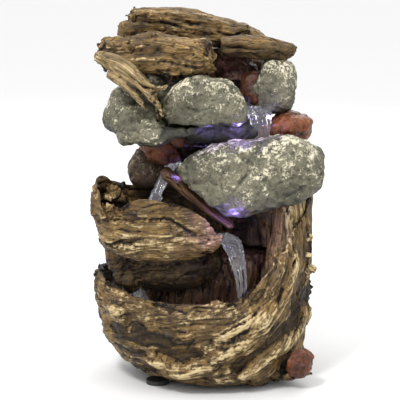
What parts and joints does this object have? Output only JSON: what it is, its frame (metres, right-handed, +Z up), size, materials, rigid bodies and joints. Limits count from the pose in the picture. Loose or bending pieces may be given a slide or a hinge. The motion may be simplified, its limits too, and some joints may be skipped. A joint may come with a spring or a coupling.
{
  "type": "tabletop water fountain",
  "caption": "Tabletop water fountain of stacked cast stones and driftwood, with stepped pools, a submersible pump, pool lights and a rear service hatch.",
  "frame": {"origin": "centre of the whole fountain's footprint, on the surface it stands on", "axes": "+Z up, -Y towards the front where the water falls, +X to the viewer's right"},
  "size_m": [0.1646, 0.1393, 0.2624],
  "materials": {
    "driftwood_gold": "cast polyresin, hand painted as golden weathered driftwood with cream ridges",
    "driftwood_dark": "cast polyresin, hand painted as dark wet wood",
    "root_cream": "cast polyresin, hand painted as cream streaked root",
    "stone_grey": "cast polyresin, hand painted as olive grey stone with cream mottling",
    "stone_rust": "cast polyresin, hand painted as rust brown stone",
    "stone_dark_red": "cast polyresin, hand painted as dark maroon wet stone",
    "pool_rock": "cast polyresin, hand painted as dark wet rock",
    "rubber_black": "soft matt rubber",
    "hatch_brown": "moulded lid, painted to match the bark",
    "pump_black": "moulded black plastic",
    "dial_blue": "moulded blue plastic",
    "magnet_grey": "sintered ferrite",
    "impeller_white": "moulded white plastic",
    "shaft_ceramic": "ground ceramic",
    "tube_clear": "clear flexible vinyl",
    "clamp_steel": "rolled stainless band",
    "led_housing": "potted black plastic",
    "led_lens": "frosted lens over a violet white light",
    "lead_black": "black sheathed lead",
    "water": "clear moving water"
  },
  "bodies": {
    "casting": {"base_basin": "driftwood_gold", "trunk_shell": "driftwood_dark", "root_flare": "driftwood_gold", "log_bowl": "driftwood_gold", "leaning_slab": "driftwood_dark", "stone_dish": "pool_rock", "big_stone": "stone_grey", "side_stone": "driftwood_dark", "rust_stone_left": "stone_rust", "rust_stone_right": "stone_rust", "upper_dish": "pool_rock", "grey_boulder_left": "stone_grey", "grey_ledge": "stone_grey", "grey_stone_front": "stone_grey", "grey_stone_right": "stone_grey", "rust_pebble": "stone_rust", "dark_red_stone": "stone_dark_red", "log_back": "driftwood_gold", "log_front": "driftwood_gold", "log_right": "driftwood_gold", "twisted_root": "root_cream", "base_pebble": "stone_rust", "rubber_feet": "rubber_black", "cord_gland": "rubber_black", "pump_body": "pump_black", "pump_cover": "pump_black", "rotor_shaft": "shaft_ceramic", "shaft_bushes": "rubber_black", "suction_cups": "rubber_black", "riser_tube": "tube_clear", "hose_clamp": "clamp_steel", "outlet_elbow": "pump_black", "led_housings": "led_housing", "led_lenses": "led_lens", "led_leads": "lead_black", "pump_lead": "lead_black", "splice_box": "led_housing", "splice_box_lid": "led_housing"},
    "rotor": {"rotor_magnet": "magnet_grey", "impeller": "impeller_white"},
    "dial": {"flow_dial": "dial_blue"},
    "hatch": {"pump_hatch": "hatch_brown", "hatch_gasket": "rubber_black"}
  },
  "joints": [
    {"name": "rotor_spin", "type": "hinge", "parent": "casting", "child": "rotor", "pos_m": [-0.014, 0.022, 0.029], "axis": [0, 1, 0], "continuous": true},
    {"name": "flow_dial_turn", "type": "hinge", "parent": "casting", "child": "dial", "pos_m": [-0.014, 0.044, 0.029], "axis": [0, 1, 0], "range_deg": [0, 30]},
    {"name": "hatch_pull", "type": "slide", "parent": "casting", "child": "hatch", "axis": [0, 1, 0], "range_m": [0, 0.03]}
  ]
}
